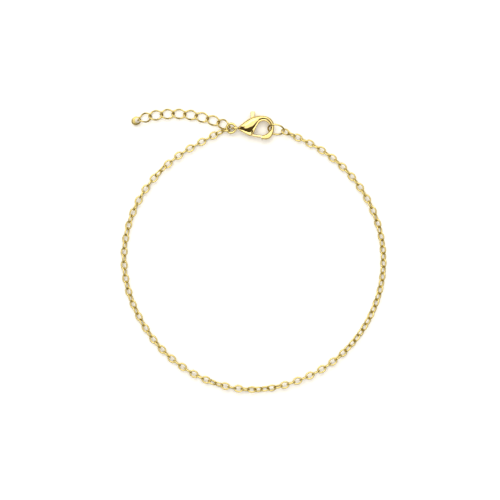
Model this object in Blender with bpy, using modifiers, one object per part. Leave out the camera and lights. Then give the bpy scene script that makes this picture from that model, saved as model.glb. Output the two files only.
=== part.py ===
"""A fine gold chain bracelet that lies flat, fastened by its lobster clasp, with a short extension chain.

Everything is in metres with +Z up. The pieces are worked out round the middle of the loop, seen
from above: the clasp is at the far side (+Y) and opens towards +X. At the end one empty carries
them all so that the middle of the underside of the whole piece is the origin.
"""

import bisect
import math

import bmesh
import bpy
from mathutils import Matrix, Vector

MM = 0.001

# Loop and main chain. Links bite into each other by CHAIN_BITE, the two halves keep a gap, and
# CHAIN_FALL is the slope at which the chain comes down from the closing ring.
LOOP_RADIUS = 28.4 * MM
CHAIN_PITCH = 1.473 * MM
CHAIN_LINK_WIDTH = 1.70 * MM
CHAIN_WIRE = 0.36 * MM
CHAIN_BITE = 0.033 * MM
CHAIN_MEETING_GAP = 0.06 * MM
CHAIN_FALL = 0.17
ROUTE_STEPS = 1200

# Extension chain and the small tag at its end. EXTENSION_REST is how high the twisted links lie,
# as a share of half their width, and TAG_RIM is the metal between the tag's hole and its edge.
EXTENSION_PITCH = 2.49 * MM
EXTENSION_LINK_WIDTH = 2.36 * MM
EXTENSION_WIRE = 0.38 * MM
EXTENSION_TWIST = math.radians(90)
END_LINK_TURN = math.radians(38)
EXTENSION_END_LIFT = 0.20 * MM
EXTENSION_REST = 0.44
TAG_LENGTH = 2.20 * MM
TAG_WIDTH = 1.90 * MM
TAG_THICKNESS = 0.70 * MM
TAG_HOLE = 1.15 * MM
TAG_RIM = 0.25 * MM
TAG_RINGS = 4
TAG_ROLL = math.radians(-12)
TAG_HEADING = math.radians(202)

# Ring that joins the clasp's eye, the extension and the end of the chain
JOINING_RING_WIDTH = 2.52 * MM
JOINING_RING_WIRE = 0.52 * MM
JOINING_RING_TILT = math.radians(10)
CHAIN_SEAT_ANGLE = math.radians(44)
EXTENSION_SEAT_ANGLE = math.radians(-38)

# Oval ring that the clasp's hook holds, with the start of the chain on it
CLOSING_RING_LENGTH = 3.96 * MM
CLOSING_RING_WIDTH = 3.40 * MM
CLOSING_RING_WIRE = 0.38 * MM
CLOSING_RING_ROLL = math.radians(48)
CLOSING_RING_HEADING = math.radians(-11)

# Clasp. Its middle is CLASP_OFFSET aside of the loop's and CLASP_REACH loop radii away, and
# CLASP_REST_CUT is how much of its belly is flattened to rest on.
CLASP_LENGTH = 7.75 * MM
CLASP_WIDTH = 5.10 * MM
CLASP_THICKNESS = 2.60 * MM
CLASP_OFFSET = 0.264 * MM
CLASP_REACH = 1.02
CLASP_REST_CUT = 0.06 * MM
EYE_HOLE = 1.00 * MM
EYE_WIRE = 0.54 * MM
LEVER_THICKNESS = 0.90 * MM
LEVER_CLEARANCE = 0.06 * MM
PIN_DIAMETER = 0.60 * MM
PIN_LENGTH = 1.24 * MM
PIN_CLEARANCE = 0.04 * MM

# Clearance between pieces that hang in each other, wider where a ring and a link cross aslant
LOOSE = 0.07 * MM
SLANT_LOOSE = 0.18 * MM

# Facets round a ring and round its wire
LINK_SEGMENTS = 10
RING_SEGMENTS = 12
WIRE_SIDES = 5
PIN_SIDES = 12
CLAW_SIDES = 12

# How the main chain lies: share of the way round from the closing ring to the joining ring,
# and distance from the middle as a share of LOOP_RADIUS
CHAIN_ROUTE = (
    (0.006, 1.017), (0.023, 1.003), (0.051, 0.997), (0.096, 0.994), (0.140, 0.995), (0.200, 1.001),
    (0.260, 1.004), (0.320, 1.001), (0.380, 0.998), (0.440, 0.996), (0.500, 1.005), (0.560, 1.000),
    (0.620, 0.994), (0.680, 0.991), (0.735, 1.001), (0.795, 1.005), (0.855, 1.001), (0.900, 0.995),
    (0.944, 0.993), (0.962, 0.997), (0.981, 1.013), (0.989, 1.023),
)

# How far the chain is rolled about its own line: share of its length, degrees for every other link
CHAIN_ROLL = (
    (0.004, -34), (0.015, -12), (0.031, 14), (0.119, 16), (0.160, 24), (0.200, 40), (0.332, 45),
    (0.358, 52), (0.385, 88), (0.438, 90), (0.456, 82), (0.473, 60), (0.500, 35), (0.518, 10),
    (0.535, 5), (0.549, 45), (0.562, 80), (0.597, 90), (0.650, 70), (0.704, 62), (0.757, 68),
    (0.810, 62), (0.845, 80), (0.881, 88), (0.894, 45), (0.907, 5), (0.978, 0), (0.987, -28),
    (0.996, -86),
)

# How the extension lies: steps from its seat on the joining ring
EXTENSION_ROUTE = (
    (-2.50 * MM, 1.06 * MM), (-7.45 * MM, 2.45 * MM), (-12.43 * MM, 2.87 * MM),
    (-17.36 * MM, 2.33 * MM), (-19.78 * MM, 1.54 * MM),
)

# Claw of the clasp, from its neck round the bow to the hook's end. X and Y are shares of
# CLASP_LENGTH and CLASP_WIDTH, height is a share of half the thickness, and crest is how far
# across from the outer edge the section is thickest.
CLAW_SECTIONS = (
    # outer x, outer y, inner x, inner y, height, crest
    (-0.467, 0.043, -0.467, -0.086, 0.28, 0.40),
    (-0.329, 0.227, -0.320, -0.227, 0.69, 0.55),
    (-0.232, 0.341, -0.222, -0.310, 0.88, 0.57),
    (-0.142, 0.420, -0.132, -0.365, 1.00, 0.50),
    (-0.058, 0.475, -0.046, -0.263, 1.00, 0.52),
    (0.090, 0.522, 0.045, 0.031, 0.91, 0.47),
    (0.161, 0.524, 0.105, 0.182, 0.78, 0.41),
    (0.239, 0.514, 0.191, 0.271, 0.66, 0.40),
    (0.338, 0.486, 0.277, 0.278, 0.57, 0.40),
    (0.436, 0.408, 0.355, 0.222, 0.48, 0.45),
    (0.503, 0.284, 0.412, 0.129, 0.43, 0.48),
    (0.540, 0.118, 0.438, 0.035, 0.41, 0.48),
    (0.540, -0.059, 0.438, -0.055, 0.40, 0.50),
    (0.520, -0.235, 0.405, -0.153, 0.40, 0.50),
    (0.455, -0.405, 0.350, -0.235, 0.40, 0.50),
    (0.345, -0.500, 0.284, -0.288, 0.40, 0.52),
    (0.165, -0.497, 0.209, -0.318, 0.38, 0.54),
)
HOOK_SEAT = (0.427, 0.000)
EYE_PLACE = (-0.538, -0.020)
PIVOT_PLACE = (-0.148, -0.167)

# Lever, from the thumb tab past the pivot to the gate's tip, in the same shares
LEVER_SECTIONS = (
    # left x, left y, right x, right y
    (-0.116, 0.706, -0.008, 0.706),
    (-0.130, 0.657, 0.004, 0.657),
    (-0.132, 0.559, -0.003, 0.559),
    (-0.126, 0.461, -0.034, 0.461),
    (-0.157, 0.196, -0.065, 0.196),
    (-0.200, -0.020, -0.080, -0.020),
    (-0.227, -0.147, -0.077, -0.122),
    (-0.187, -0.265, -0.080, -0.206),
    (-0.123, -0.343, -0.058, -0.259),
    (-0.026, -0.396, 0.000, -0.280),
    (0.065, -0.422, 0.077, -0.294),
    (0.154, -0.439, 0.190, -0.314),
)

# Slot that the lever swings in, as shares measured from the pivot, after the round of its hub
SLOT_HUB = 0.74 * MM
SLOT_HUB_ARC = (245, 220, 195, 170, 160)
SLOT_CORNERS = (
    (-0.190, 0.794), (0.166, 0.794), (0.080, 0.078), (0.194, 0.049), (0.194, -0.373), (-0.044, -0.373),
)

# Cross sections: a lever's bar has eight corners, given as shares of half its width and thickness
BAR_CORNERS = (
    (1.0, 0.55), (0.72, 1.0), (-0.72, 1.0), (-1.0, 0.55),
    (-1.0, -0.55), (-0.72, -1.0), (0.72, -1.0), (1.0, -0.55),
)


class Route:
    """A line through many points that is read by the distance along it."""

    def __init__(self, points):
        self.points = points
        self.marks = [0.0]
        for start, end in zip(points, points[1:]):
            self.marks.append(self.marks[-1] + (end - start).length)
        self.length = self.marks[-1]

    def at(self, distance):
        step = bisect.bisect_right(self.marks, distance) - 1
        step = min(max(step, 0), len(self.points) - 2)
        share = (distance - self.marks[step]) / (self.marks[step + 1] - self.marks[step])
        return self.points[step].lerp(self.points[step + 1], share)


def read_table(rows, at):
    """Value at a place in rows of (place, value), on straight lines between them."""
    places = [row[0] for row in rows]
    step = min(max(bisect.bisect_right(places, at) - 1, 0), len(rows) - 2)
    (left, low), (right, high) = rows[step], rows[step + 1]
    share = min(max((at - left) / (right - left), 0.0), 1.0)
    return low + (high - low) * share


def read_curve(rows, at):
    """Value at a place in rows of (place, value), on one smooth curve through them."""
    places = [row[0] for row in rows]
    step = min(max(bisect.bisect_right(places, at) - 1, 0), len(rows) - 2)

    def slope(index):
        before, after = rows[max(index - 1, 0)], rows[min(index + 1, len(rows) - 1)]
        return (after[1] - before[1]) / (after[0] - before[0])

    (left, low), (right, high) = rows[step], rows[step + 1]
    span = right - left
    t = (at - left) / span
    return (
        low * (1 + 2 * t) * (1 - t) ** 2
        + high * t * t * (3 - 2 * t)
        + span * (slope(step) * t * (1 - t) ** 2 - slope(step + 1) * t * t * (1 - t))
    )


def smooth_points(points, steps=12):
    """Points on one smooth curve through the given ones."""
    ends = [2 * points[0] - points[1], *points, 2 * points[-1] - points[-2]]
    curve = []
    for before, start, end, after in zip(ends, ends[1:], ends[2:], ends[3:]):
        for step in range(steps):
            t = step / steps
            curve.append(
                start
                + 0.5 * t * (end - before)
                + 0.5 * t * t * (2 * before - 5 * start + 4 * end - after)
                + 0.5 * t**3 * (3 * start - before - 3 * end + after)
            )
    return [*curve, points[-1]]


def swell(sides):
    """How far the corners of a faceted wire stand out, so that its section keeps the round wire's area."""
    return math.sqrt(math.tau / (sides * math.sin(math.tau / sides)))


def gold(name, colour, roughness):
    material = bpy.data.materials.new(name)
    material.use_nodes = True
    shader = material.node_tree.nodes["Principled BSDF"]
    shader.inputs["Base Color"].default_value = (*colour, 1.0)
    shader.inputs["Metallic"].default_value = 1.0
    shader.inputs["Roughness"].default_value = roughness
    return material


class Workshop:
    """Makes the objects, files them as parts or as cutters, and hangs them all on one empty."""

    def __init__(self):
        for thing in list(bpy.data.objects):
            bpy.data.objects.remove(thing, do_unlink=True)
        self.parts = self.collection("chain_bracelet")
        self.cutters = self.collection("cutters")
        self.carrier = bpy.data.objects.new("bracelet_origin", None)
        self.parts.objects.link(self.carrier)

    def collection(self, name):
        made = bpy.data.collections.new(name)
        bpy.context.scene.collection.children.link(made)
        return made

    def adopt(self, thing, home):
        for holder in list(thing.users_collection):
            holder.objects.unlink(thing)
        home.objects.link(thing)
        thing.parent = self.carrier
        return thing

    def part(self, thing, material):
        self.adopt(thing, self.parts)
        thing.data.materials.clear()
        thing.data.materials.append(material)
        thing.data.shade_smooth()
        thing.data.set_sharp_from_angle(angle=math.radians(50))
        return thing

    def cutter(self, thing):
        self.adopt(thing, self.cutters)
        thing.hide_render = True
        thing.display_type = "WIRE"
        return thing

    def combine(self, thing, other, operation):
        modifier = thing.modifiers.new(f"{operation.lower()}_{other.name}", "BOOLEAN")
        modifier.operation = operation
        modifier.solver = "EXACT"
        modifier.object = self.cutter(other)


def mesh_object(name, shape):
    """Object of a bmesh, which is used up."""
    mesh = bpy.data.meshes.new(name)
    bmesh.ops.recalc_face_normals(shape, faces=shape.faces)
    shape.to_mesh(mesh)
    shape.free()
    return bpy.data.objects.new(name, mesh)


def loft(name, sections):
    """Closed solid through sections that have the same number of points."""
    shape = bmesh.new()
    rings = [[shape.verts.new(point) for point in section] for section in sections]
    for near, far in zip(rings, rings[1:]):
        for step in range(len(near)):
            after = (step + 1) % len(near)
            shape.faces.new((near[step], near[after], far[after], far[step]))
    shape.faces.new(rings[0])
    shape.faces.new(rings[-1])
    return mesh_object(name, shape)


def plate(name, outline, thickness):
    """Flat solid of an outline, which lies half above and half below its own plane."""
    curve = bpy.data.curves.new(name, "CURVE")
    curve.dimensions = "2D"
    curve.fill_mode = "BOTH"
    curve.extrude = thickness / 2
    spline = curve.splines.new("POLY")
    spline.points.add(len(outline) - 1)
    for point, (x, y) in zip(spline.points, outline):
        point.co = (x, y, 0.0, 1.0)
    spline.use_cyclic_u = True
    drawn = bpy.data.objects.new(name, curve)
    bpy.context.scene.collection.objects.link(drawn)
    view = bpy.context.evaluated_depsgraph_get()
    mesh = bpy.data.meshes.new_from_object(drawn.evaluated_get(view))
    bpy.data.objects.remove(drawn, do_unlink=True)
    shape = bmesh.new()
    shape.from_mesh(mesh)
    bmesh.ops.remove_doubles(shape, verts=shape.verts, dist=0.001 * MM)
    return mesh_object(name, shape)


def cylinder(name, diameter, length, place):
    bpy.ops.mesh.primitive_cylinder_add(vertices=PIN_SIDES, radius=diameter / 2, depth=length, location=place)
    made = bpy.context.object
    made.name = name
    return made


def wire_ring(name, inner_length, width, wire, segments, sides):
    """Oval ring of round wire, flat in XY with its long axis on X and a flat facet at each end."""
    reach = swell(sides) * wire / 2
    half_width = (width - wire) / 2
    bpy.ops.mesh.primitive_torus_add(
        major_segments=segments, minor_segments=sides, major_radius=half_width, minor_radius=reach
    )
    ring = bpy.context.object
    ring.name = name
    ring.data.transform(Matrix.Rotation(math.pi / segments, 4, "Z"))
    inner_side = reach * (math.cos(math.pi / sides) if sides % 2 else 1.0)
    half_length = (inner_length / 2 + inner_side) / math.cos(math.pi / segments)
    for vertex in ring.data.vertices:
        angle = math.atan2(vertex.co.y, vertex.co.x)
        aside = vertex.co.xy.length - half_width
        out = Vector((half_width * math.cos(angle), half_length * math.sin(angle))).normalized()
        vertex.co.x = half_length * math.cos(angle) + aside * out.x
        vertex.co.y = half_width * math.sin(angle) + aside * out.y
    return ring


def lie_between(start, end, roll):
    """Placement of a ring whose long axis runs from start to end, rolled about that axis."""
    run = end - start
    heading = math.atan2(run.y, run.x)
    climb = math.atan2(run.z, math.hypot(run.x, run.y))
    return (
        Matrix.Translation((start + end) / 2)
        @ Matrix.Rotation(heading, 4, "Z")
        @ Matrix.Rotation(-climb, 4, "Y")
        @ Matrix.Rotation(roll, 4, "X")
    )


class Clasp:
    """Where the clasp lies, and the points of it that other pieces need."""

    def __init__(self):
        self.middle = CLASP_THICKNESS / 2 - CLASP_REST_CUT
        self.place = Vector((CLASP_OFFSET, LOOP_RADIUS * CLASP_REACH, self.middle))
        self.pivot = self.point(*PIVOT_PLACE)
        self.eye = self.point(*EYE_PLACE)

    def point(self, x_share, y_share, z=0.0):
        return self.place + Vector((x_share * CLASP_LENGTH, y_share * CLASP_WIDTH, z))

    def claw_section(self, outer_x, outer_y, inner_x, inner_y, height, crest):
        outer, inner = self.point(outer_x, outer_y), self.point(inner_x, inner_y)
        thickest = outer.lerp(inner, crest)
        points = []
        for step in range(CLAW_SIDES):
            angle = math.tau * step / CLAW_SIDES
            edge = outer if math.cos(angle) > 0 else inner
            across = (edge - thickest) * abs(math.cos(angle))
            rise = math.sin(angle) * height * CLASP_THICKNESS / 2
            points.append(thickest + across + Vector((0, 0, rise)))
        return points

    def lever_section(self, left_x, left_y, right_x, right_y):
        left, right = self.point(left_x, left_y) - self.pivot, self.point(right_x, right_y) - self.pivot
        middle, half = (left + right) / 2, (right - left) / 2
        return [
            middle + half * across + Vector((0, 0, up * LEVER_THICKNESS / 2)) for across, up in BAR_CORNERS
        ]


def make_clasp_body(shop, clasp, material):
    body = loft("clasp_body", [clasp.claw_section(*row) for row in CLAW_SECTIONS])
    shop.part(body, material)

    eye = wire_ring("eye", EYE_HOLE, EYE_HOLE + 2 * EYE_WIRE, EYE_WIRE, LINK_SEGMENTS, WIRE_SIDES)
    eye.data.transform(Matrix.Rotation(math.pi / 2, 4, "X"))
    eye.location = clasp.eye
    shop.combine(body, eye, "UNION")

    outline = []
    for degrees in SLOT_HUB_ARC:
        angle = math.radians(degrees)
        outline.append((SLOT_HUB * math.cos(angle), SLOT_HUB * math.sin(angle)))
    outline += [(x * CLASP_LENGTH, y * CLASP_WIDTH) for x, y in SLOT_CORNERS]
    slot = plate("slot", outline, LEVER_THICKNESS + 2 * LEVER_CLEARANCE)
    slot.location = clasp.pivot
    shop.combine(body, slot, "DIFFERENCE")

    bore = PIN_DIAMETER + 2 * PIN_CLEARANCE
    pockets = cylinder("pin_pockets", bore, PIN_LENGTH + 2 * PIN_CLEARANCE, clasp.pivot)
    shop.combine(body, pockets, "DIFFERENCE")

    bpy.ops.mesh.primitive_cube_add(size=1)
    floor = bpy.context.object
    floor.name = "rest_cut"
    floor.data.transform(Matrix.Diagonal((2 * CLASP_LENGTH, 2 * CLASP_WIDTH, CLASP_THICKNESS, 1)))
    floor.location = (*clasp.place.xy, -CLASP_THICKNESS / 2)
    shop.combine(body, floor, "DIFFERENCE")


def make_clasp_lever(shop, clasp, material):
    lever = loft("clasp_lever", [clasp.lever_section(*row) for row in LEVER_SECTIONS])
    lever.location = clasp.pivot
    shop.part(lever, material)
    bore = cylinder("lever_bore", PIN_DIAMETER + 2 * PIN_CLEARANCE, 2 * LEVER_THICKNESS, clasp.pivot)
    shop.combine(lever, bore, "DIFFERENCE")


def make_clasp_pin(shop, clasp, material):
    shop.part(cylinder("clasp_pin", PIN_DIAMETER, PIN_LENGTH, clasp.pivot), material)


def make_closing_ring(shop, clasp, material):
    """Oval ring in the hook. Returns the seat that the chain starts from."""
    inner_length = CLOSING_RING_LENGTH - 2 * CLOSING_RING_WIRE
    ring = wire_ring(
        "closing_ring", inner_length, CLOSING_RING_WIDTH, CLOSING_RING_WIRE, RING_SEGMENTS, WIRE_SIDES
    )
    reach = swell(WIRE_SIDES) * CLOSING_RING_WIRE / 2
    along = Vector((math.cos(CLOSING_RING_HEADING), math.sin(CLOSING_RING_HEADING), 0))
    start = clasp.point(*HOOK_SEAT) - Vector((2 * reach + SLANT_LOOSE, 0, 0))
    half_width = (CLOSING_RING_WIDTH - CLOSING_RING_WIRE) / 2
    start.z = half_width * math.sin(CLOSING_RING_ROLL) + reach
    end = start + along * CLOSING_RING_LENGTH
    ring.matrix_basis = lie_between(start, end, CLOSING_RING_ROLL)
    shop.part(ring, material)
    return end - along * (CLOSING_RING_WIRE + SLANT_LOOSE)


def make_joining_ring(shop, clasp, material):
    """Round ring in the clasp's eye. Returns the seats of the chain's end and of the extension."""
    inner = JOINING_RING_WIDTH - 2 * JOINING_RING_WIRE
    ring = wire_ring("joining_ring", inner, JOINING_RING_WIDTH, JOINING_RING_WIRE, RING_SEGMENTS, WIRE_SIDES)
    centreline = (JOINING_RING_WIDTH - JOINING_RING_WIRE) / 2
    play = (EYE_HOLE - JOINING_RING_WIRE) / 2 - 2 * LOOSE
    run = Vector((-math.cos(JOINING_RING_TILT), 0, -math.sin(JOINING_RING_TILT)))
    hold = clasp.eye + run * play
    placement = lie_between(hold, hold + run * 2 * centreline, 0)
    ring.matrix_basis = placement
    shop.part(ring, material)

    reach = inner / 2 - SLANT_LOOSE
    seats = []
    for angle in (CHAIN_SEAT_ANGLE, EXTENSION_SEAT_ANGLE):
        seats.append(placement @ Vector((reach * math.cos(angle), reach * math.sin(angle), 0)))
    return seats


def chain_path(start, end):
    """The main chain's way round the loop, from one seat to the other, on the ground plane."""
    first = math.atan2(start.y, start.x)
    last = math.atan2(end.y, end.x) - math.tau
    rows = (
        (0.0, start.xy.length / LOOP_RADIUS),
        *CHAIN_ROUTE,
        (1.0, end.xy.length / LOOP_RADIUS),
    )
    points = []
    for step in range(ROUTE_STEPS + 1):
        share = step / ROUTE_STEPS
        angle = first + (last - first) * share
        radius = read_curve(rows, share) * LOOP_RADIUS
        points.append(Vector((radius * math.cos(angle), radius * math.sin(angle), 0)))
    return Route(points)


def chain_placements(start, end):
    """Placement of each link of the main chain, and how many of them are in its first half.

    The count is odd, so that the first link and the last lie the same way to their rings.
    """
    route = chain_path(start, end)
    first_half = round((route.length / CHAIN_PITCH - 1) / 2)
    count = 2 * first_half + 1
    slack = CHAIN_BITE + CHAIN_MEETING_GAP
    pitch = (route.length + slack) / count
    half_width = (CHAIN_LINK_WIDTH - CHAIN_WIRE) / 2
    reach = swell(WIRE_SIDES) * CHAIN_WIRE / 2

    def contact(distance):
        roll = math.radians(read_table(CHAIN_ROLL, distance / route.length))
        resting = half_width * max(abs(math.sin(roll)), abs(math.cos(roll))) + reach
        point = route.at(distance)
        point.z = max(resting, start.z - CHAIN_FALL * distance)
        if distance > route.length - pitch / 2:
            point.z = end.z
        return point

    placements = []
    for index in range(count):
        begin = index * pitch - (slack if index >= first_half else 0)
        roll = read_table(CHAIN_ROLL, (index + 0.5) / count) + (90 if index % 2 else 0)
        placements.append(lie_between(contact(begin), contact(begin + pitch), math.radians(roll)))
    return placements, first_half, pitch - CHAIN_BITE


def joined_copies(name, mesh, placements):
    shape = bmesh.new()
    for placement in placements:
        copy = mesh.copy()
        copy.transform(placement)
        shape.from_mesh(copy)
        bpy.data.meshes.remove(copy)
    return mesh_object(name, shape)


def make_main_chain(shop, start, end, material):
    placements, first_half, inner_length = chain_placements(start, end)
    pattern = wire_ring("link_pattern", inner_length, CHAIN_LINK_WIDTH, CHAIN_WIRE, LINK_SEGMENTS, WIRE_SIDES)
    halves = {"main_chain_right": placements[:first_half], "main_chain_left": placements[first_half:]}
    for name, half in halves.items():
        chain = joined_copies(name, pattern.data, half[0::2])
        shop.part(chain, material)
        shop.combine(chain, joined_copies(f"{name}_between", pattern.data, half[1::2]), "UNION")
    bpy.data.objects.remove(pattern, do_unlink=True)


def make_extension(shop, seat, material):
    """Twisted links, each a piece of its own. Returns the seat that the tag hangs from."""
    half_width = (EXTENSION_LINK_WIDTH - EXTENSION_WIRE) / 2
    rest = EXTENSION_WIRE / 2 * swell(WIRE_SIDES) + EXTENSION_REST * half_width
    corners = [seat] + [Vector((seat.x + x, seat.y + y, rest)) for x, y in EXTENSION_ROUTE]
    corners[-1].z += EXTENSION_END_LIFT
    route = Route(smooth_points(corners))
    count = round(route.length / EXTENSION_PITCH)
    pitch = route.length / count
    inner_length = pitch + LOOSE
    for index in range(count):
        link = wire_ring(
            f"extension_link_{index + 1}", inner_length, EXTENSION_LINK_WIDTH, EXTENSION_WIRE,
            LINK_SEGMENTS, WIRE_SIDES,
        )
        twist = link.modifiers.new("twist", "SIMPLE_DEFORM")
        twist.deform_method = "TWIST"
        twist.deform_axis = "X"
        near_turn = EXTENSION_TWIST / 2 + (END_LINK_TURN if index == 0 else 0)
        far_turn = EXTENSION_TWIST / 2 + (END_LINK_TURN if index == count - 1 else 0)
        twist.angle = near_turn + far_turn
        roll = (far_turn - near_turn) / 2
        link.matrix_basis = lie_between(route.at(index * pitch), route.at((index + 1) * pitch), roll)
        shop.part(link, material)
    return route.at(route.length)


def make_end_tag(shop, seat, material):
    """Small domed oval with a hole near the edge that the last link goes through."""
    bpy.ops.mesh.primitive_uv_sphere_add(segments=RING_SEGMENTS, ring_count=TAG_RINGS, radius=0.5)
    tag = bpy.context.object
    tag.name = "end_tag"
    tag.data.transform(Matrix.Diagonal((TAG_LENGTH, TAG_WIDTH, TAG_THICKNESS, 1)))
    hole_centre = -TAG_LENGTH / 2 + TAG_RIM + TAG_HOLE / 2
    along = Vector((math.cos(TAG_HEADING), math.sin(TAG_HEADING), 0))
    start = seat - along * (TAG_RIM + SLANT_LOOSE)
    placement = lie_between(start, start + along * TAG_LENGTH, TAG_ROLL)
    tag.matrix_basis = placement
    shop.part(tag, material)
    hole = cylinder("tag_hole", TAG_HOLE, 2 * TAG_THICKNESS, (0, 0, 0))
    hole.matrix_basis = placement @ Matrix.Translation((hole_centre, 0, 0))
    shop.combine(tag, hole, "DIFFERENCE")


def stand_on_origin(shop):
    """Moves the carrier so that the middle of the underside of all the pieces is the origin."""
    bpy.context.view_layer.update()
    view = bpy.context.evaluated_depsgraph_get()
    corners = []
    for thing in shop.parts.objects:
        if thing.type == "MESH":
            solid = thing.evaluated_get(view)
            corners += [solid.matrix_world @ vertex.co for vertex in solid.data.vertices]
    low = Vector(min(corner[axis] for corner in corners) for axis in range(3))
    high = Vector(max(corner[axis] for corner in corners) for axis in range(3))
    shop.carrier.location = (-(low.x + high.x) / 2, -(low.y + high.y) / 2, -low.z)
    bpy.context.view_layer.update()


def main():
    shop = Workshop()
    chain_gold = gold("chain_gold", (0.83, 0.58, 0.20), 0.22)
    clasp_gold = gold("clasp_gold", (0.86, 0.62, 0.22), 0.12)
    lever_gold = gold("lever_gold", (0.86, 0.64, 0.26), 0.18)

    clasp = Clasp()
    make_clasp_body(shop, clasp, clasp_gold)
    make_clasp_lever(shop, clasp, lever_gold)
    make_clasp_pin(shop, clasp, lever_gold)
    chain_start = make_closing_ring(shop, clasp, chain_gold)
    chain_end, extension_start = make_joining_ring(shop, clasp, chain_gold)
    make_main_chain(shop, chain_start, chain_end, chain_gold)
    tag_seat = make_extension(shop, extension_start, chain_gold)
    make_end_tag(shop, tag_seat, clasp_gold)
    stand_on_origin(shop)


main()
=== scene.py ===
"""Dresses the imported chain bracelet: smooth polished gold on a white table, seen from above.

The pieces lie where the CAD lays them. As in the CAD, places on the loop are measured from its
middle, and the whole loop is then shifted to the frame's origin by the clasp's pin.
"""

import bisect
import math

import bmesh
import bpy
from mathutils import Matrix, Vector


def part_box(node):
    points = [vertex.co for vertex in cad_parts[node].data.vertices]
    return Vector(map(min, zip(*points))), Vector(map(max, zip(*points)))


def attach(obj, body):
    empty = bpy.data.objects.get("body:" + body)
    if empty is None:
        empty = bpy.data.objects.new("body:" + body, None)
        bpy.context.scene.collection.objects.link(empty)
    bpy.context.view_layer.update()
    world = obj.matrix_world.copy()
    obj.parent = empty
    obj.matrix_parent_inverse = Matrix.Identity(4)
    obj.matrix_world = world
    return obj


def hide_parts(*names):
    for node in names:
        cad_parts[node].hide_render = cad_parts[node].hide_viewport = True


MM = 0.001

# Loop and main chain. Links bite into each other by CHAIN_BITE, the two halves keep a gap, and
# CHAIN_FALL is the slope at which the chain comes down from the closing ring.
LOOP_RADIUS = 28.4 * MM
CHAIN_PITCH = 1.473 * MM
CHAIN_LINK_WIDTH = 1.70 * MM
CHAIN_WIRE = 0.36 * MM
CHAIN_BITE = 0.033 * MM
CHAIN_MEETING_GAP = 0.06 * MM
CHAIN_FALL = 0.17
ROUTE_STEPS = 1200

# Extension chain and the small tag at its end. EXTENSION_REST is how high the twisted links lie,
# as a share of half their width, and TAG_RIM is the metal between the tag's hole and its edge.
EXTENSION_PITCH = 2.49 * MM
EXTENSION_LINK_WIDTH = 2.36 * MM
EXTENSION_WIRE = 0.38 * MM
EXTENSION_TWIST = math.radians(90)
END_LINK_TURN = math.radians(38)
EXTENSION_END_LIFT = 0.20 * MM
EXTENSION_REST = 0.44
TAG_LENGTH = 2.20 * MM
TAG_WIDTH = 1.90 * MM
TAG_THICKNESS = 0.70 * MM
TAG_HOLE = 1.15 * MM
TAG_RIM = 0.25 * MM
TAG_ROLL = math.radians(-12)
TAG_HEADING = math.radians(202)

# Ring that joins the clasp's eye, the extension and the end of the chain
JOINING_RING_WIDTH = 2.52 * MM
JOINING_RING_WIRE = 0.52 * MM
JOINING_RING_TILT = math.radians(10)
CHAIN_SEAT_ANGLE = math.radians(44)
EXTENSION_SEAT_ANGLE = math.radians(-38)

# Oval ring that the clasp's hook holds, with the start of the chain on it
CLOSING_RING_LENGTH = 3.96 * MM
CLOSING_RING_WIDTH = 3.40 * MM
CLOSING_RING_WIRE = 0.38 * MM
CLOSING_RING_ROLL = math.radians(48)
CLOSING_RING_HEADING = math.radians(-11)

# Clasp. Its middle is CLASP_OFFSET aside of the loop's and CLASP_REACH loop radii away, and
# CLASP_REST_CUT is how much of its belly is flattened to rest on.
CLASP_LENGTH = 7.75 * MM
CLASP_WIDTH = 5.10 * MM
CLASP_THICKNESS = 2.60 * MM
CLASP_OFFSET = 0.264 * MM
CLASP_REACH = 1.02
CLASP_REST_CUT = 0.06 * MM
EYE_HOLE = 1.00 * MM
EYE_WIRE = 0.54 * MM
LEVER_THICKNESS = 0.90 * MM
LEVER_CLEARANCE = 0.06 * MM
PIN_DIAMETER = 0.60 * MM
PIN_CLEARANCE = 0.04 * MM

# Clearance between pieces that hang in each other, wider where a ring and a link cross aslant,
# and the facets of the CAD's wire, which seat them
LOOSE = 0.07 * MM
SLANT_LOOSE = 0.18 * MM
CAD_WIRE_SIDES = 5

# Points round a smooth ring, round its wire and round the other pieces, steps from one section of
# the claw or the lever to the next, and the angle in degrees past which an edge is sharp
LINK_POINTS = 40
RING_POINTS = 72
WIRE_POINTS = 12
CLAW_POINTS = 96
CLAW_STEPS = 8
LEVER_POINTS = 32
LEVER_STEPS = 5
TAG_POINTS = 48
PIN_POINTS = 32
SMOOTH_ANGLE = 40
CREST_ANGLE = 26

# How the main chain lies: share of the way round from the closing ring to the joining ring,
# and distance from the middle as a share of LOOP_RADIUS
CHAIN_ROUTE = (
    (0.006, 1.017), (0.023, 1.003), (0.051, 0.997), (0.096, 0.994), (0.140, 0.995), (0.200, 1.001),
    (0.260, 1.004), (0.320, 1.001), (0.380, 0.998), (0.440, 0.996), (0.500, 1.005), (0.560, 1.000),
    (0.620, 0.994), (0.680, 0.991), (0.735, 1.001), (0.795, 1.005), (0.855, 1.001), (0.900, 0.995),
    (0.944, 0.993), (0.962, 0.997), (0.981, 1.013), (0.989, 1.023),
)

# How far the chain is rolled about its own line: share of its length, degrees for every other link
CHAIN_ROLL = (
    (0.004, -34), (0.015, -12), (0.031, 14), (0.119, 16), (0.160, 24), (0.200, 40), (0.332, 45),
    (0.358, 52), (0.385, 88), (0.438, 90), (0.456, 82), (0.473, 60), (0.500, 35), (0.518, 10),
    (0.535, 5), (0.549, 45), (0.562, 80), (0.597, 90), (0.650, 70), (0.704, 62), (0.757, 68),
    (0.810, 62), (0.845, 80), (0.881, 88), (0.894, 45), (0.907, 5), (0.978, 0), (0.987, -28),
    (0.996, -86),
)

# How the extension lies: steps from its seat on the joining ring
EXTENSION_ROUTE = (
    (-2.50 * MM, 1.06 * MM), (-7.45 * MM, 2.45 * MM), (-12.43 * MM, 2.87 * MM),
    (-17.36 * MM, 2.33 * MM), (-19.78 * MM, 1.54 * MM),
)

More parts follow.
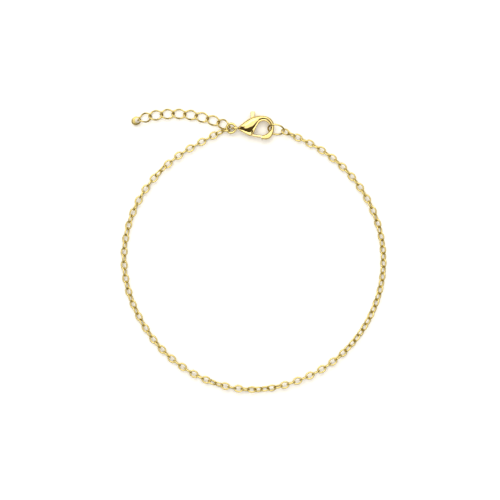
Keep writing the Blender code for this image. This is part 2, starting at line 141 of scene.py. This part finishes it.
# Claw of the clasp, from its neck round the bow to the hook's end. X and Y are shares of
# CLASP_LENGTH and CLASP_WIDTH, height is a share of half the thickness, and crest is how far
# across from the outer edge the section is thickest.
CLAW_SECTIONS = (
    # outer x, outer y, inner x, inner y, height, crest
    (-0.467, 0.043, -0.467, -0.086, 0.28, 0.40),
    (-0.329, 0.227, -0.320, -0.227, 0.69, 0.55),
    (-0.232, 0.341, -0.222, -0.310, 0.88, 0.57),
    (-0.142, 0.420, -0.132, -0.365, 1.00, 0.50),
    (-0.058, 0.475, -0.046, -0.263, 1.00, 0.52),
    (0.090, 0.522, 0.045, 0.031, 0.91, 0.47),
    (0.161, 0.524, 0.105, 0.182, 0.78, 0.41),
    (0.239, 0.514, 0.191, 0.271, 0.66, 0.40),
    (0.338, 0.486, 0.277, 0.278, 0.57, 0.40),
    (0.436, 0.408, 0.355, 0.222, 0.48, 0.45),
    (0.503, 0.284, 0.412, 0.129, 0.43, 0.48),
    (0.540, 0.118, 0.438, 0.035, 0.41, 0.48),
    (0.540, -0.059, 0.438, -0.055, 0.40, 0.50),
    (0.520, -0.235, 0.405, -0.153, 0.40, 0.50),
    (0.455, -0.405, 0.350, -0.235, 0.40, 0.50),
    (0.345, -0.500, 0.284, -0.288, 0.40, 0.52),
    (0.165, -0.497, 0.209, -0.318, 0.38, 0.54),
)
HOOK_SEAT = (0.427, 0.000)
EYE_PLACE = (-0.538, -0.020)
PIVOT_PLACE = (-0.148, -0.167)

# Raised rim along the claw's inner edge, past a valley whose slope starts at the crest. Rows of a
# section's number and a value: where the valley is, from 0 at the crest to 1 at the inner edge,
# how strong the rim is, and how steep the valley's slope is. Then how deep the valley may get, how
# far the rim rises, how squarely it turns down at its edge, and how round the claw's back is: 0 is
# a square bar and 1 an oval one.
RIM_VALLEY = (
    (0, 0.48), (2, 0.55), (3, 0.62), (4, 0.42), (5, 0.38), (6, 0.38), (7, 0.36), (10, 0.34),
)
RIM_STRENGTH = ((0, 0.6), (1, 1.0), (10, 1.0), (12, 0.0))
RIM_SLOPE = ((0, 0.80), (3, 0.60), (4, 0.46), (6, 0.44), (7, 0.72), (8, 0.80))
RIM_DEPTH = 0.62 * MM
RIM_RISE = 0.07 * MM
RIM_SQUARENESS = 8
BACK_ROUNDNESS = 0.55

# Lever, from the thumb tab past the pivot to the gate's tip, in the same shares
LEVER_SECTIONS = (
    # left x, left y, right x, right y
    (-0.116, 0.706, -0.008, 0.706),
    (-0.130, 0.657, 0.004, 0.657),
    (-0.132, 0.559, -0.003, 0.559),
    (-0.126, 0.461, -0.034, 0.461),
    (-0.157, 0.196, -0.065, 0.196),
    (-0.200, -0.020, -0.080, -0.020),
    (-0.227, -0.147, -0.077, -0.122),
    (-0.187, -0.265, -0.080, -0.206),
    (-0.123, -0.343, -0.058, -0.259),
    (-0.026, -0.396, 0.000, -0.280),
    (0.065, -0.422, 0.077, -0.294),
    (0.154, -0.439, 0.190, -0.314),
)

# How round the lever's edges are along those sections, as for the claw's back
LEVER_ROUNDNESS = ((0, 0.30), (7, 0.30), (9, 0.85))

# Slot that the lever swings in, as shares measured from the pivot, after the round of its hub
SLOT_HUB = 0.74 * MM
SLOT_HUB_ARC = (245, 220, 195, 170, 160)
SLOT_CORNERS = (
    (-0.190, 0.794), (0.166, 0.794), (0.080, 0.078),
    (0.194, 0.049), (0.194, -0.373), (-0.044, -0.373),
)

# Photograph: the part of the table that it shows, the middle of it seen from the loop's middle,
# and how far off the camera is
VIEW_WIDTH = 110 * MM
VIEW_MIDDLE = (-0.836 * MM, 2.134 * MM)
CAMERA_HEIGHT = 600 * MM
SENSOR_WIDTH = 36.0
CAMERA_NEAR = 0.01

# Polished gold: colour, roughness, and the size of the unevenness that breaks its reflections
CHAIN_GOLD = ((0.64, 0.525, 0.20), 0.20, 0.6 * MM)
CLASP_GOLD = ((0.67, 0.535, 0.22), 0.12, 1.5 * MM)
# The tag's gold is a darker copy of the chain's gold: painted shade on the tag.
TAG_SHADE_GOLD = ((0.56, 0.45, 0.16), 0.34, 0.8 * MM)
# The lever's gold is a paler copy of the clasp's: a painted highlight for its flat top under the
# top softbox.
LEVER_HIGHLIGHT_GOLD = ((0.74, 0.61, 0.32), 0.14, 1.0 * MM)

# How far the unevenness moves the gold: its darker tint as shares of the colour, the smoothest and
# roughest spots as shares of the roughness, and the span of the noise that they are spread over
DARKER_TINT = (0.93, 0.90, 0.82)
SMOOTHEST = 0.75
ROUGHEST = 1.35
NOISE_SPAN = (0.30, 0.70)
NOISE_DETAIL = 3.0

# Polishing lines: how many fit in one patch of unevenness, how drawn out they are, and their relief
LINE_COUNT = 6
LINE_STRETCH = (0.15, 1.0, 1.0)
LINE_DETAIL = 4.0
LINE_STRENGTH = 0.12
LINE_DEPTH = 0.04

# Table, room and softboxes. The room is dim and warm, so the gold's dark reflections are brown.
TABLE_SIZE = 3.0
TABLE_COLOUR = (0.95, 0.935, 0.895, 1)
TABLE_ROUGHNESS = 0.75
TABLE_SPECULAR = 0.2
ROOM_COLOUR = (1.0, 0.74, 0.36, 1)
ROOM_STRENGTH = 0.10
SOFTBOXES = (
    # name, place, width and depth, radiance
    ("key_softbox", (-0.20, 0.75, 0.63), (1.8, 0.75), 2.3),
    ("top_softbox", (0.0, 0.0, 1.0), (1.7, 1.7), 1.84),
)


class Route:
    """A line through many points that is read by the distance along it."""

    def __init__(self, points):
        self.points = points
        self.marks = [0.0]
        for start, end in zip(points, points[1:]):
            self.marks.append(self.marks[-1] + (end - start).length)
        self.length = self.marks[-1]

    def at(self, distance):
        step = bisect.bisect_right(self.marks, distance) - 1
        step = min(max(step, 0), len(self.points) - 2)
        share = (distance - self.marks[step]) / (self.marks[step + 1] - self.marks[step])
        return self.points[step].lerp(self.points[step + 1], share)


def read_table(rows, at):
    """Value at a place in rows of (place, value), on straight lines between them."""
    places = [row[0] for row in rows]
    step = min(max(bisect.bisect_right(places, at) - 1, 0), len(rows) - 2)
    (left, low), (right, high) = rows[step], rows[step + 1]
    share = min(max((at - left) / (right - left), 0.0), 1.0)
    return low + (high - low) * share


def read_curve(rows, at):
    """Value at a place in rows of (place, value), on one smooth curve through them."""
    places = [row[0] for row in rows]
    step = min(max(bisect.bisect_right(places, at) - 1, 0), len(rows) - 2)

    def slope(index):
        before, after = rows[max(index - 1, 0)], rows[min(index + 1, len(rows) - 1)]
        return (after[1] - before[1]) / (after[0] - before[0])

    (left, low), (right, high) = rows[step], rows[step + 1]
    span = right - left
    t = (at - left) / span
    return (
        low * (1 + 2 * t) * (1 - t) ** 2
        + high * t * t * (3 - 2 * t)
        + span * (slope(step) * t * (1 - t) ** 2 - slope(step + 1) * t * t * (1 - t))
    )


def smooth_points(points, steps=12):
    """Points on one smooth curve through the given ones, which may be vectors of any size."""
    ends = [2 * points[0] - points[1], *points, 2 * points[-1] - points[-2]]
    curve = []
    for before, start, end, after in zip(ends, ends[1:], ends[2:], ends[3:]):
        for step in range(steps):
            t = step / steps
            curve.append(
                start
                + 0.5 * t * (end - before)
                + 0.5 * t * t * (2 * before - 5 * start + 4 * end - after)
                + 0.5 * t**3 * (3 * start - before - 3 * end + after)
            )
    return [*curve, points[-1]]


def swell(sides):
    """How far the corners of the CAD's faceted wire stand out beyond the round wire."""
    return math.sqrt(math.tau / (sides * math.sin(math.tau / sides)))


def lie_between(start, end, roll):
    """Placement of a ring whose long axis runs from start to end, rolled about that axis."""
    run = end - start
    heading = math.atan2(run.y, run.x)
    climb = math.atan2(run.z, math.hypot(run.x, run.y))
    return (
        Matrix.Translation((start + end) / 2)
        @ Matrix.Rotation(heading, 4, "Z")
        @ Matrix.Rotation(-climb, 4, "Y")
        @ Matrix.Rotation(roll, 4, "X")
    )


# Shapes


def mesh_object(name, shape):
    """Object of a bmesh, which is used up, with smooth faces."""
    mesh = bpy.data.meshes.new(name)
    bmesh.ops.recalc_face_normals(shape, faces=shape.faces)
    shape.to_mesh(mesh)
    shape.free()
    mesh.shade_smooth()
    mesh.set_sharp_from_angle(angle=math.radians(SMOOTH_ANGLE))
    made = bpy.data.objects.new(name, mesh)
    bpy.context.scene.collection.objects.link(made)
    return made


def add_tube(shape, circles, closed):
    """Adds a tube through circles of points to a bmesh, closed in a ring or capped at both ends."""
    rings = [[shape.verts.new(point) for point in circle] for circle in circles]
    pairs = list(zip(rings, rings[1:]))
    if closed:
        pairs.append((rings[-1], rings[0]))
    for near, far in pairs:
        for step in range(len(near)):
            after = (step + 1) % len(near)
            shape.faces.new((near[step], near[after], far[after], far[step]))
    if not closed:
        shape.faces.new(rings[0])
        shape.faces.new(rings[-1])


def ring_circles(inner_length, width, wire, points, twist=0.0):
    """Circles of points round the wire of an oval ring, flat in XY with its long axis on X.

    The twist turns the ring's two ends against each other about X, as a curb chain's links are.
    """
    half_width = (width - wire) / 2
    half_length = (inner_length + wire) / 2
    circles = []
    for step in range(points):
        angle = math.tau * (step + 0.5) / points
        middle = Vector((half_length * math.cos(angle), half_width * math.sin(angle), 0))
        out = Vector((half_width * math.cos(angle), half_length * math.sin(angle), 0)).normalized()
        circle = []
        for side in range(WIRE_POINTS):
            turn = math.tau * side / WIRE_POINTS
            spoke = out * math.cos(turn) + Vector((0, 0, math.sin(turn)))
            circle.append(middle + spoke * wire / 2)
        circles.append(circle)
    if twist:
        length = inner_length + 2 * wire
        circles = [
            [Matrix.Rotation(twist * point.x / length, 3, "X") @ point for point in circle]
            for circle in circles
        ]
    return circles


def add_ring(shape, placement, circles):
    add_tube(shape, [[placement @ point for point in circle] for circle in circles], closed=True)


def ring_object(name, placement, circles):
    shape = bmesh.new()
    add_ring(shape, placement, circles)
    return mesh_object(name, shape)


def plate(name, outline, thickness, place):
    """Flat solid of an outline in XY, half above and half below its place."""
    shape = bmesh.new()
    add_tube(
        shape,
        [[place + Vector((x, y, z)) for x, y in outline] for z in (-thickness / 2, thickness / 2)],
        closed=False,
    )
    return mesh_object(name, shape)


def round_outline(radius, points):
    angles = [math.tau * step / points for step in range(points)]
    return [(radius * math.cos(angle), radius * math.sin(angle)) for angle in angles]


def cut(piece, cutter, smooth_angle=SMOOTH_ANGLE):
    """Cuts another object out of a piece for good, and drops that object."""
    modifier = piece.modifiers.new("cut", "BOOLEAN")
    modifier.operation = "DIFFERENCE"
    modifier.solver = "EXACT"
    modifier.object = cutter
    bpy.context.view_layer.update()
    view = bpy.context.evaluated_depsgraph_get()
    result = bpy.data.meshes.new_from_object(piece.evaluated_get(view))
    piece.modifiers.clear()
    piece.data = result
    result.shade_smooth()
    result.set_sharp_from_angle(angle=math.radians(smooth_angle))
    bpy.data.objects.remove(cutter, do_unlink=True)


# Materials


def polished_gold(name, colour, roughness, grain):
    """Polished gold plate with faint polishing lines and slight unevenness."""
    material = bpy.data.materials.new(name)
    material.use_nodes = True
    tree = material.node_tree
    shader = tree.nodes["Principled BSDF"]
    shader.inputs["Metallic"].default_value = 1.0

    place = tree.nodes.new("ShaderNodeTexCoord")
    uneven = tree.nodes.new("ShaderNodeTexNoise")
    uneven.inputs["Scale"].default_value = 1 / grain
    uneven.inputs["Detail"].default_value = NOISE_DETAIL
    tree.links.new(place.outputs["Object"], uneven.inputs["Vector"])

    tint = tree.nodes.new("ShaderNodeValToRGB")
    darker = [channel * share for channel, share in zip(colour, DARKER_TINT)]
    for stop, position, shade in zip(tint.color_ramp.elements, NOISE_SPAN, (darker, colour)):
        stop.position = position
        stop.color = (*shade, 1)
    tree.links.new(uneven.outputs["Fac"], tint.inputs["Fac"])
    tree.links.new(tint.outputs["Color"], shader.inputs["Base Color"])

    sheen = tree.nodes.new("ShaderNodeMapRange")
    sheen.inputs["From Min"].default_value = NOISE_SPAN[0]
    sheen.inputs["From Max"].default_value = NOISE_SPAN[1]
    sheen.inputs["To Min"].default_value = roughness * SMOOTHEST
    sheen.inputs["To Max"].default_value = roughness * ROUGHEST
    tree.links.new(uneven.outputs["Fac"], sheen.inputs["Value"])
    tree.links.new(sheen.outputs["Result"], shader.inputs["Roughness"])

    lines = tree.nodes.new("ShaderNodeTexNoise")
    lines.inputs["Scale"].default_value = LINE_COUNT / grain
    lines.inputs["Detail"].default_value = LINE_DETAIL
    stretched = tree.nodes.new("ShaderNodeMapping")
    stretched.inputs["Scale"].default_value = LINE_STRETCH
    tree.links.new(place.outputs["Object"], stretched.inputs["Vector"])
    tree.links.new(stretched.outputs["Vector"], lines.inputs["Vector"])
    relief = tree.nodes.new("ShaderNodeBump")
    relief.inputs["Strength"].default_value = LINE_STRENGTH
    relief.inputs["Distance"].default_value = grain * LINE_DEPTH
    tree.links.new(lines.outputs["Fac"], relief.inputs["Height"])
    tree.links.new(relief.outputs["Normal"], shader.inputs["Normal"])
    return material


def white_table():
    material = bpy.data.materials.new("white_table")
    material.use_nodes = True
    tree = material.node_tree
    shader = tree.nodes["Principled BSDF"]
    shader.inputs["Base Color"].default_value = TABLE_COLOUR
    shader.inputs["Roughness"].default_value = TABLE_ROUGHNESS
    shader.inputs["Specular IOR Level"].default_value = TABLE_SPECULAR
    return material


# The bracelet


def dress(piece, node_names, material, body="bracelet"):
    """Finishes a piece: its material, the body it rides on and the CAD nodes it stands for."""
    piece.data.materials.clear()
    piece.data.materials.append(material)
    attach(piece, body)
    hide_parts(*node_names)


class Clasp:
    """Where the clasp lies, measured from the loop's middle, and its points that others need."""

    def __init__(self):
        self.middle = CLASP_THICKNESS / 2 - CLASP_REST_CUT
        self.place = Vector((CLASP_OFFSET, LOOP_RADIUS * CLASP_REACH, self.middle))
        self.pivot = self.point(*PIVOT_PLACE)
        self.eye = self.point(*EYE_PLACE)

    def point(self, x_share, y_share):
        return self.place + Vector((x_share * CLASP_LENGTH, y_share * CLASP_WIDTH, 0))


def claw_circle(clasp, number, section):
    """Points round one section of the claw: a rounded back, then a valley and a rim."""
    outer_x, outer_y, inner_x, inner_y, height, crest = section
    outer, inner = clasp.point(outer_x, outer_y), clasp.point(inner_x, inner_y)
    thickest = outer.lerp(inner, crest)
    valley = read_table(RIM_VALLEY, number)
    strength = read_table(RIM_STRENGTH, number)
    top = height * CLASP_THICKNESS / 2
    depth = (inner - thickest).length * valley * read_table(RIM_SLOPE, number)
    floor = top - min(depth, RIM_DEPTH)
    circle = []
    for step in range(CLAW_POINTS):
        angle = math.tau * step / CLAW_POINTS
        rise = math.sin(angle) * top
        if math.cos(angle) > 0:
            place = thickest.lerp(outer, math.cos(angle))
            rise = math.copysign(abs(math.sin(angle)) ** BACK_ROUNDNESS, rise) * top
        else:
            turn = 1 - 2 * math.acos(-math.cos(angle)) / math.pi
            place = thickest.lerp(inner, turn + (-math.cos(angle) - turn) * (1 - strength))
            if turn < valley:
                rim = top + (floor - top) * turn / valley
            else:
                past = (turn - valley) / (1 - valley)
                rim = floor * math.sqrt(1 - past**RIM_SQUARENESS)
                rim += RIM_RISE * math.sin(math.pi * past)
            rise += (math.copysign(rim, rise) - rise) * strength
        circle.append(place + Vector((0, 0, max(rise, -clasp.middle))))
    return circle


def make_claw(clasp, shift):
    """The claw, a smooth loft through the table's sections with the lever's slot, and its eye."""
    circles = []
    sections = smooth_points([Vector(row) for row in CLAW_SECTIONS], CLAW_STEPS)
    for step, section in enumerate(sections):
        circles.append([shift + point for point in claw_circle(clasp, step / CLAW_STEPS, section)])
    shape = bmesh.new()
    add_tube(shape, circles, closed=False)
    claw = mesh_object("claw", shape)

    outline = []
    for degrees in SLOT_HUB_ARC:
        angle = math.radians(degrees)
        outline.append((SLOT_HUB * math.cos(angle), SLOT_HUB * math.sin(angle)))
    outline += [(x * CLASP_LENGTH, y * CLASP_WIDTH) for x, y in SLOT_CORNERS]
    slot = plate("slot", outline, LEVER_THICKNESS + 2 * LEVER_CLEARANCE, shift + clasp.pivot)
    cut(claw, slot, CREST_ANGLE)

    turn = Matrix.Translation(shift + clasp.eye) @ Matrix.Rotation(math.pi / 2, 4, "X")
    circles = ring_circles(EYE_HOLE, EYE_HOLE + 2 * EYE_WIRE, EYE_WIRE, RING_POINTS)
    return claw, ring_object("claw_eye", turn, circles)


def make_lever(clasp, shift):
    """Thumb tab and gate in one flat bar with rounded edges, and its hole for the pin."""
    rows = smooth_points([Vector(row) for row in LEVER_SECTIONS], LEVER_STEPS)
    circles = []
    for number, (left_x, left_y, right_x, right_y) in enumerate(rows):
        roundness = read_table(LEVER_ROUNDNESS, number / LEVER_STEPS)
        left, right = clasp.point(left_x, left_y), clasp.point(right_x, right_y)
        middle, half = (left + right) / 2, (right - left) / 2
        circle = []
        for step in range(LEVER_POINTS):
            angle = math.tau * (step + 0.5) / LEVER_POINTS
            across = math.copysign(abs(math.cos(angle)) ** roundness, math.cos(angle))
            up = math.copysign(abs(math.sin(angle)) ** roundness, math.sin(angle))
            circle.append(shift + middle + half * across + Vector((0, 0, up * LEVER_THICKNESS / 2)))
        circles.append(circle)
    shape = bmesh.new()
    add_tube(shape, circles, closed=False)
    lever = mesh_object("lever", shape)
    bore = round_outline(PIN_DIAMETER / 2 + PIN_CLEARANCE, PIN_POINTS)
    cut(lever, plate("bore", bore, 2 * LEVER_THICKNESS, shift + clasp.pivot))
    return lever


def closing_ring_seats(clasp):
    """Placement of the oval ring in the hook, and the seat that the chain starts from."""
    reach = swell(CAD_WIRE_SIDES) * CLOSING_RING_WIRE / 2
    along = Vector((math.cos(CLOSING_RING_HEADING), math.sin(CLOSING_RING_HEADING), 0))
    start = clasp.point(*HOOK_SEAT) - Vector((2 * reach + SLANT_LOOSE, 0, 0))
    half_width = (CLOSING_RING_WIDTH - CLOSING_RING_WIRE) / 2
    start.z = half_width * math.sin(CLOSING_RING_ROLL) + reach
    end = start + along * CLOSING_RING_LENGTH
    chain_start = end - along * (CLOSING_RING_WIRE + SLANT_LOOSE)
    return lie_between(start, end, CLOSING_RING_ROLL), chain_start


def joining_ring_seats(clasp):
    """Placement of the round ring in the eye, and the seats of the chain and the extension."""
    centreline = (JOINING_RING_WIDTH - JOINING_RING_WIRE) / 2
    play = (EYE_HOLE - JOINING_RING_WIRE) / 2 - 2 * LOOSE
    run = Vector((-math.cos(JOINING_RING_TILT), 0, -math.sin(JOINING_RING_TILT)))
    hold = clasp.eye + run * play
    placement = lie_between(hold, hold + run * 2 * centreline, 0)
    reach = JOINING_RING_WIDTH / 2 - JOINING_RING_WIRE - SLANT_LOOSE
    seats = []
    for angle in (CHAIN_SEAT_ANGLE, EXTENSION_SEAT_ANGLE):
        seats.append(placement @ Vector((reach * math.cos(angle), reach * math.sin(angle), 0)))
    return placement, seats


def chain_path(start, end):
    """The main chain's way round the loop, from one seat to the other, on the ground plane."""
    first = math.atan2(start.y, start.x)
    last = math.atan2(end.y, end.x) - math.tau
    rows = (
        (0.0, start.xy.length / LOOP_RADIUS),
        *CHAIN_ROUTE,
        (1.0, end.xy.length / LOOP_RADIUS),
    )
    points = []
    for step in range(ROUTE_STEPS + 1):
        share = step / ROUTE_STEPS
        angle = first + (last - first) * share
        radius = read_curve(rows, share) * LOOP_RADIUS
        points.append(Vector((radius * math.cos(angle), radius * math.sin(angle), 0)))
    return Route(points)


def chain_placements(start, end):
    """Placement of each link of the main chain, and how many of them are in its first half.

    The count is odd, so that the first link and the last lie the same way to their rings.
    """
    route = chain_path(start, end)
    first_half = round((route.length / CHAIN_PITCH - 1) / 2)
    count = 2 * first_half + 1
    slack = CHAIN_BITE + CHAIN_MEETING_GAP
    pitch = (route.length + slack) / count
    half_width = (CHAIN_LINK_WIDTH - CHAIN_WIRE) / 2
    reach = swell(CAD_WIRE_SIDES) * CHAIN_WIRE / 2

    def contact(distance):
        roll = math.radians(read_table(CHAIN_ROLL, distance / route.length))
        resting = half_width * max(abs(math.sin(roll)), abs(math.cos(roll))) + reach
        point = route.at(distance)
        point.z = max(resting, start.z - CHAIN_FALL * distance)
        if distance > route.length - pitch / 2:
            point.z = end.z
        return point

    placements = []
    for index in range(count):
        begin = index * pitch - (slack if index >= first_half else 0)
        roll = read_table(CHAIN_ROLL, (index + 0.5) / count) + (90 if index % 2 else 0)
        placements.append(lie_between(contact(begin), contact(begin + pitch), math.radians(roll)))
    return placements, first_half, pitch - CHAIN_BITE


def make_main_chain(start, end, shift, material):
    placements, first_half, inner_length = chain_placements(start, end)
    circles = ring_circles(inner_length, CHAIN_LINK_WIDTH, CHAIN_WIRE, LINK_POINTS)
    halves = {"right": placements[:first_half], "left": placements[first_half:]}
    for side, half in halves.items():
        shape = bmesh.new()
        for placement in half:
            add_ring(shape, shift @ placement, circles)
        links = mesh_object(f"{side}_chain_links", shape)
        dress(links, [f"main_chain_{side}"], material)


def make_extension(seat, shift, material):
    """Twisted links, each a piece of its own. Returns the seat that the tag hangs from."""
    half_width = (EXTENSION_LINK_WIDTH - EXTENSION_WIRE) / 2
    rest = EXTENSION_WIRE / 2 * swell(CAD_WIRE_SIDES) + EXTENSION_REST * half_width
    corners = [seat] + [Vector((seat.x + x, seat.y + y, rest)) for x, y in EXTENSION_ROUTE]
    corners[-1].z += EXTENSION_END_LIFT
    route = Route(smooth_points(corners))
    count = round(route.length / EXTENSION_PITCH)
    pitch = route.length / count
    for index in range(count):
        near_turn = EXTENSION_TWIST / 2 + (END_LINK_TURN if index == 0 else 0)
        far_turn = EXTENSION_TWIST / 2 + (END_LINK_TURN if index == count - 1 else 0)
        roll = (far_turn - near_turn) / 2
        placement = lie_between(route.at(index * pitch), route.at((index + 1) * pitch), roll)
        circles = ring_circles(
            pitch + LOOSE, EXTENSION_LINK_WIDTH, EXTENSION_WIRE, RING_POINTS, near_turn + far_turn
        )
        link = ring_object(f"curb_link_{index + 1}", shift @ placement, circles)
        dress(link, [f"extension_link_{index + 1}"], material)
    return route.at(route.length)


def make_tag(seat, shift, material):
    """Small domed oval with a hole near the edge that the last link goes through."""
    along = Vector((math.cos(TAG_HEADING), math.sin(TAG_HEADING), 0))
    start = seat - along * (TAG_RIM + SLANT_LOOSE)
    placement = shift @ lie_between(start, start + along * TAG_LENGTH, TAG_ROLL)
    shape = bmesh.new()
    bmesh.ops.create_uvsphere(shape, u_segments=TAG_POINTS, v_segments=TAG_POINTS // 2, radius=0.5)
    form = placement @ Matrix.Diagonal((TAG_LENGTH, TAG_WIDTH, TAG_THICKNESS, 1))
    bmesh.ops.transform(shape, matrix=form, verts=shape.verts)
    tag = mesh_object("domed_tag", shape)
    hole = plate("hole", round_outline(TAG_HOLE / 2, PIN_POINTS), 2 * TAG_THICKNESS, Vector())
    hole_centre = -TAG_LENGTH / 2 + TAG_RIM + TAG_HOLE / 2
    hole.data.transform(placement @ Matrix.Translation((hole_centre, 0, 0)))
    cut(tag, hole)
    dress(tag, ["end_tag"], material)


def make_bracelet():
    clasp = Clasp()
    low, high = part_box("clasp_pin")
    pin_middle = (Vector(low) + Vector(high)) / 2
    shift = pin_middle - clasp.pivot
    move = Matrix.Translation(shift)

    chain_gold = polished_gold("chain_gold_polished", *CHAIN_GOLD)
    clasp_gold = polished_gold("clasp_gold_polished", *CLASP_GOLD)
    # The tag's material carries painted shade in its darker gold.
    tag_shade_gold = polished_gold("tag_painted_shade_gold", *TAG_SHADE_GOLD)
    # The lever's material carries a painted highlight in its paler gold.
    lever_highlight_gold = polished_gold("lever_painted_highlight_gold", *LEVER_HIGHLIGHT_GOLD)

    claw, eye = make_claw(clasp, shift)
    dress(claw, ["clasp_body"], clasp_gold)
    dress(eye, ["clasp_body"], clasp_gold)
    dress(make_lever(clasp, shift), ["clasp_lever"], lever_highlight_gold, "lever")
    # The pin takes the lever's paler gold, so it carries the same painted highlight.
    for material_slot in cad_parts["clasp_pin"].material_slots:
        material_slot.material = lever_highlight_gold

    closing_place, chain_start = closing_ring_seats(clasp)
    inner = CLOSING_RING_LENGTH - 2 * CLOSING_RING_WIRE
    circles = ring_circles(inner, CLOSING_RING_WIDTH, CLOSING_RING_WIRE, RING_POINTS)
    closing = ring_object("closing_oval", move @ closing_place, circles)
    dress(closing, ["closing_ring"], chain_gold)

    joining_place, (chain_end, extension_start) = joining_ring_seats(clasp)
    inner = JOINING_RING_WIDTH - 2 * JOINING_RING_WIRE
    circles = ring_circles(inner, JOINING_RING_WIDTH, JOINING_RING_WIRE, RING_POINTS)
    joining = ring_object("joining_round", move @ joining_place, circles)
    dress(joining, ["joining_ring"], chain_gold)

    make_main_chain(chain_start, chain_end, move, chain_gold)
    tag_seat = make_extension(extension_start, move, chain_gold)
    make_tag(tag_seat, move, tag_shade_gold)
    return shift


# Table, light and camera


def make_table():
    bpy.ops.mesh.primitive_plane_add(size=TABLE_SIZE)
    table = bpy.context.object
    table.name = "table"
    table.data.materials.append(white_table())


def add_softbox(name, place, size, radiance):
    """White area light that faces the middle of the table and that the camera doesn't see."""
    light = bpy.data.lights.new(name, "AREA")
    light.shape = "RECTANGLE"
    light.size, light.size_y = size
    light.energy = radiance * math.pi * light.size * light.size_y
    box = bpy.data.objects.new(name, light)
    box.location = place
    box.rotation_euler = (Vector() - Vector(place)).to_track_quat("-Z", "Y").to_euler()
    box.visible_camera = False
    bpy.context.scene.collection.objects.link(box)


def light_scene():
    world = bpy.data.worlds.new("room")
    bpy.context.scene.world = world
    world.use_nodes = True
    room = world.node_tree.nodes["Background"]
    room.inputs["Color"].default_value = ROOM_COLOUR
    room.inputs["Strength"].default_value = ROOM_STRENGTH
    for softbox in SOFTBOXES:
        add_softbox(*softbox)


def make_camera(shift):
    camera = bpy.data.cameras.new("camera")
    camera.sensor_width = SENSOR_WIDTH
    camera.lens = SENSOR_WIDTH * CAMERA_HEIGHT / VIEW_WIDTH
    camera.clip_start = CAMERA_NEAR
    seen = bpy.data.objects.new("camera", camera)
    seen.location = (VIEW_MIDDLE[0] + shift.x, VIEW_MIDDLE[1] + shift.y, CAMERA_HEIGHT)
    bpy.context.scene.collection.objects.link(seen)
    bpy.context.scene.camera = seen


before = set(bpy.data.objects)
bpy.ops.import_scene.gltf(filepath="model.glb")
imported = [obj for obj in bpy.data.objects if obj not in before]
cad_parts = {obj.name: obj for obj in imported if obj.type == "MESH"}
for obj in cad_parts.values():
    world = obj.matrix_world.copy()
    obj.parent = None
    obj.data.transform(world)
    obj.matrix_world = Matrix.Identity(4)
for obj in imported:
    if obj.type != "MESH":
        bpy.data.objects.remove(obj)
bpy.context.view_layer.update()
loop_shift = make_bracelet()
make_table()
light_scene()
make_camera(loop_shift)
bpy.context.scene.view_settings.view_transform = "Standard"
